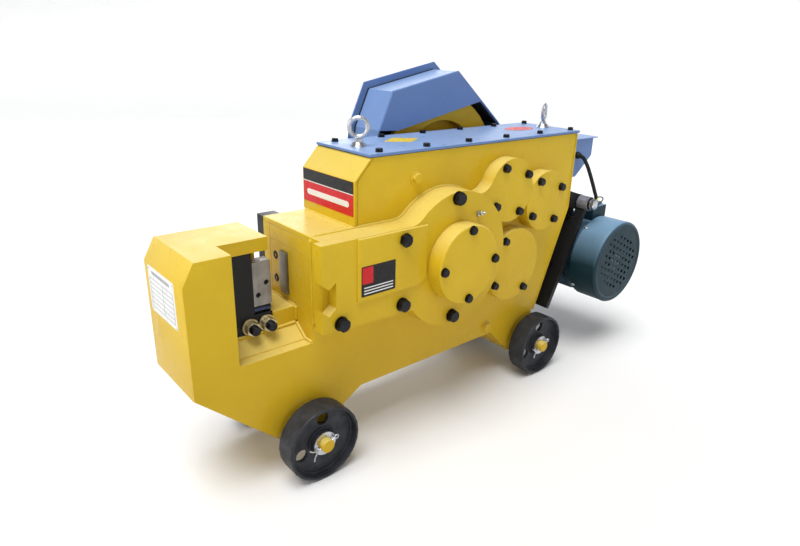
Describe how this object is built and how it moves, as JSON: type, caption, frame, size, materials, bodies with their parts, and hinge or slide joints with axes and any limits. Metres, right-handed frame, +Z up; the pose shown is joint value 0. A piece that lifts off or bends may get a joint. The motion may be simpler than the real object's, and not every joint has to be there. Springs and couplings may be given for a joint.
{
  "type": "rebar cutter",
  "caption": "Wheeled motor-driven bar shear: welded yellow body with an open cutting throat, round crank cover, blue belt guard and a motor on a hinged plate.",
  "frame": {"origin": "centre of the footprint on the ground, midway along and across the whole machine", "axes": "+X along the machine from the cutting head to the motor, +Y from the crank cover side to the belt guard side, +Z up"},
  "size_m": [1.342, 0.391, 0.7973],
  "materials": {
    "yellow_paint": "satin enamel over welded plate",
    "blue_paint": "satin enamel",
    "teal_paint": "satin enamel",
    "black_paint": "satin black enamel",
    "cast_iron": "rough, dark",
    "machined_steel": "ground, lightly oiled",
    "zinc_plate": "zinc plated",
    "gear_steel": "cut and oiled",
    "bronze": "turned",
    "belt_rubber": "matt",
    "cable_sheath": "smooth",
    "green_plastic": "gloss",
    "red_plastic": "gloss"
  },
  "bodies": {
    "machine_body": {"frame_side_front": "yellow_paint", "frame_side_rear": "yellow_paint", "head_block": "yellow_paint", "throat_floor": "yellow_paint", "belly_plate": "yellow_paint", "nose_plate": "yellow_paint", "end_plate": "yellow_paint", "ram_guide_lower": "yellow_paint", "ram_guide_upper": "yellow_paint", "crank_boss": "yellow_paint", "crank_cover_plate": "yellow_paint", "crank_end_cap": "yellow_paint", "input_bearing_cap": "yellow_paint", "second_bearing_cap": "yellow_paint", "third_bearing_cap": "yellow_paint", "crank_rear_cap": "yellow_paint", "front_axle": "yellow_paint", "rear_axle": "yellow_paint", "top_cover": "blue_paint", "belt_guard_shell": "blue_paint", "belt_guard_back": "blue_paint", "switch_box": "blue_paint", "fixed_blade_seat": "black_paint", "bar_guide": "black_paint", "motor_pivot_bracket": "black_paint", "fixed_blade": "machined_steel", "blade_adjusting_screw": "machined_steel", "blade_stud_1": "zinc_plate", "blade_stud_2": "zinc_plate", "lifting_eyebolt_left": "zinc_plate", "lifting_eyebolt_right": "zinc_plate", "motor_pivot_pin": "zinc_plate", "crank_bush_front": "bronze", "crank_bush_rear": "bronze", "drive_belt_1": "belt_rubber", "drive_belt_2": "belt_rubber", "motor_cable": "cable_sheath"},
    "flywheel_shaft": {"input_shaft": "gear_steel", "flywheel": "yellow_paint"},
    "second_shaft_set": {"second_shaft": "gear_steel", "second_gear": "gear_steel"},
    "third_shaft_set": {"third_shaft": "gear_steel", "third_gear": "gear_steel"},
    "crank": {"crankshaft": "machined_steel", "crank_gear": "gear_steel"},
    "rod": {"connecting_rod": "cast_iron"},
    "ram_set": {"ram": "yellow_paint", "wrist_pin": "machined_steel", "moving_blade": "machined_steel"},
    "motor_mount": {"motor_swing_plate": "black_paint", "motor_housing": "teal_paint", "motor_fan_cover": "teal_paint"},
    "rotor": {"motor_rotor": "gear_steel", "motor_pulley": "cast_iron"},
    "start_button_body": {"start_button": "green_plastic"},
    "stop_button_body": {"stop_button": "red_plastic"},
    "wheel_fl": {"wheel_front_left": "cast_iron"},
    "wheel_fr": {"wheel_front_right": "cast_iron"},
    "wheel_rl": {"wheel_rear_left": "cast_iron"},
    "wheel_rr": {"wheel_rear_right": "cast_iron"}
  },
  "joints": [
    {"name": "flywheel_turn", "type": "hinge", "parent": "machine_body", "child": "flywheel_shaft", "pos_m": [0.10567, -0.0055, 0.52542], "axis": [0, 1, 0], "range_deg": [0, 2562.15]},
    {"name": "second_shaft_turn", "type": "hinge", "parent": "machine_body", "child": "second_shaft_set", "pos_m": [0.24373, -0.0055, 0.48109], "axis": [0, 1, 0], "range_deg": [-1063, 1]},
    {"name": "third_shaft_turn", "type": "hinge", "parent": "machine_body", "child": "third_shaft_set", "pos_m": [0.13931, -0.0055, 0.33448], "axis": [0, 1, 0], "range_deg": [-1, 421]},
    {"name": "crank_turn", "type": "hinge", "parent": "machine_body", "child": "crank", "pos_m": [-0.091, -0.0055, 0.402], "axis": [0, 1, 0], "range_deg": [-180.5, 0.5]},
    {"name": "rod_level", "type": "hinge", "parent": "crank", "child": "rod", "pos_m": [-0.066, -0.0055, 0.402], "axis": [0, 1, 0], "range_deg": [-0.5, 180.5]},
    {"name": "ram_slide", "type": "slide", "parent": "machine_body", "child": "ram_set", "axis": [1, 0, 0], "range_m": [-0.0502, 0.0002]},
    {"name": "motor_swing", "type": "hinge", "parent": "machine_body", "child": "motor_mount", "pos_m": [0.494, -0.0055, 0.43], "axis": [0, 1, 0], "range_deg": [0, 1.5]},
    {"name": "motor_turn", "type": "hinge", "parent": "motor_mount", "child": "rotor", "pos_m": [0.552, -0.0055, 0.266], "axis": [0, 1, 0], "range_deg": [-1, 8640]},
    {"name": "start_press", "type": "slide", "parent": "machine_body", "child": "start_button_body", "axis": [-1, 0, 0], "range_m": [0, 0.004], "stiffness_N_per_m": 600},
    {"name": "stop_press", "type": "slide", "parent": "machine_body", "child": "stop_button_body", "axis": [-1, 0, 0], "range_m": [0, 0.004], "stiffness_N_per_m": 600},
    {"name": "wheel_front_left_turn", "type": "hinge", "parent": "machine_body", "child": "wheel_fl", "pos_m": [-0.439, -0.1335, 0.0817], "axis": [0, 1, 0], "continuous": true},
    {"name": "wheel_front_right_turn", "type": "hinge", "parent": "machine_body", "child": "wheel_fr", "pos_m": [-0.439, 0.1225, 0.0817], "axis": [0, 1, 0], "continuous": true},
    {"name": "wheel_rear_left_turn", "type": "hinge", "parent": "machine_body", "child": "wheel_rl", "pos_m": [0.259, -0.1335, 0.0817], "axis": [0, 1, 0], "continuous": true},
    {"name": "wheel_rear_right_turn", "type": "hinge", "parent": "machine_body", "child": "wheel_rr", "pos_m": [0.259, 0.1225, 0.0817], "axis": [0, 1, 0], "continuous": true}
  ],
  "couplings": [
    {"joint": "second_shaft_turn", "follows": "flywheel_turn", "ratio": -0.41463},
    {"joint": "third_shaft_turn", "follows": "flywheel_turn", "ratio": 0.16393},
    {"joint": "crank_turn", "follows": "flywheel_turn", "ratio": -0.070254},
    {"joint": "rod_level", "follows": "flywheel_turn", "ratio": 0.070254},
    {"joint": "ram_slide", "follows": "flywheel_turn", "m_per_rad": -0.0011181},
    {"joint": "motor_turn", "follows": "flywheel_turn", "ratio": 3.3665}
  ]
}
